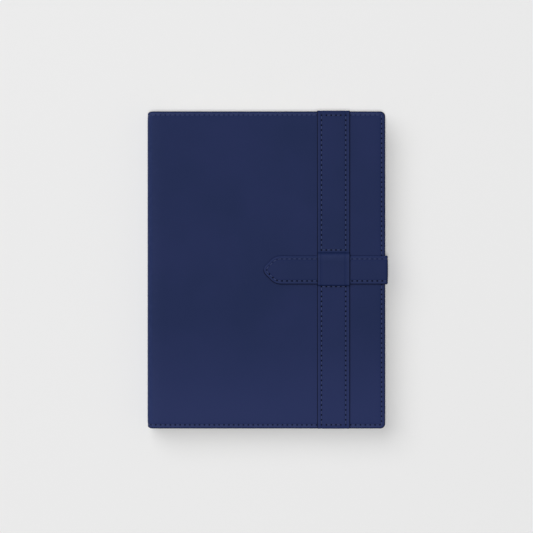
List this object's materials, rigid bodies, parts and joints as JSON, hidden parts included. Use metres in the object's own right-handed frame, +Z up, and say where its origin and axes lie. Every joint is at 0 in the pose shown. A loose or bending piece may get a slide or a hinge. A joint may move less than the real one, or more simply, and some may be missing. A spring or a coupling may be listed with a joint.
{
  "type": "pilot logbook",
  "caption": "Sewn logbook held by its card covers in the sleeves of a stiffened navy leather cover, closed by a strap that wraps the fore edge and tucks under a stitched band loop.",
  "frame": {"origin": "middle of the back cover's flat underside", "axes": "+X towards the fore edge, +Y towards the head, +Z up out of the closed front cover"},
  "size_m": [0.1698, 0.2248, 0.025],
  "materials": {
    "leather_navy": "smooth dyed calf leather, semi-matt, stitched in matching thread",
    "lining": "short-nap microsuede lining",
    "board": "plain grey bookbinding board",
    "card": "embossed cover card, matt",
    "paper": "uncoated cream ledger paper, faint ruled lines"
  },
  "bodies": {
    "back_cover": {"back_leather": "leather_navy", "back_board": "board", "back_lining": "lining", "back_sleeve": "lining", "back_card": "card", "strap_root_face": "leather_navy", "strap_root_backing": "leather_navy", "rear_flyleaf": "paper", "signature_07": "paper", "signature_08": "paper", "signature_09": "paper", "signature_10": "paper", "signature_11": "paper", "signature_12": "paper"},
    "spine": {"spine_leather": "leather_navy", "spine_stiffener": "board", "spine_lining": "lining", "spine_card": "card"},
    "front_cover": {"front_leather": "leather_navy", "front_board": "board", "front_lining": "lining", "front_sleeve": "lining", "front_card": "card", "keeper_band": "leather_navy"},
    "front_leaves": {"front_flyleaf": "paper", "signature_01": "paper", "signature_02": "paper", "signature_03": "paper", "signature_04": "paper", "signature_05": "paper", "signature_06": "paper"},
    "strap_wrap": {"strap_wrap_backing": "leather_navy", "strap_wrap_face": "leather_navy"},
    "strap_tongue": {"strap_tongue_backing": "leather_navy", "strap_tongue_face": "leather_navy"}
  },
  "joints": [
    {"name": "spine_hinge", "type": "hinge", "parent": "back_cover", "child": "spine", "pos_m": [-0.084, 0, 0], "axis": [0, -1, 0], "range_deg": [0, 89]},
    {"name": "front_hinge", "type": "hinge", "parent": "spine", "child": "front_cover", "pos_m": [-0.084, 0, 0.022], "axis": [0, -1, 0], "range_deg": [0, 89]},
    {"name": "leaf_hinge", "type": "hinge", "parent": "back_cover", "child": "front_leaves", "pos_m": [-0.078, 0, 0.011], "axis": [0, -1, 0], "range_deg": [0, 178]},
    {"name": "strap_root_bend", "type": "hinge", "parent": "back_cover", "child": "strap_wrap", "pos_m": [0.0842, 0, 0.0017], "axis": [0, 1, 0], "range_deg": [0, 90]},
    {"name": "strap_fold", "type": "hinge", "parent": "strap_wrap", "child": "strap_tongue", "pos_m": [0.0842, 0, 0.022], "axis": [0, 1, 0], "range_deg": [0, 90], "deforming": ["strap_tongue_backing", "strap_tongue_face"]}
  ],
  "couplings": [
    {"joint": "spine_hinge", "follows": "front_hinge", "ratio": 1},
    {"joint": "leaf_hinge", "follows": "front_hinge", "ratio": 2},
    {"joint": "strap_fold", "follows": "strap_root_bend", "ratio": 1}
  ]
}
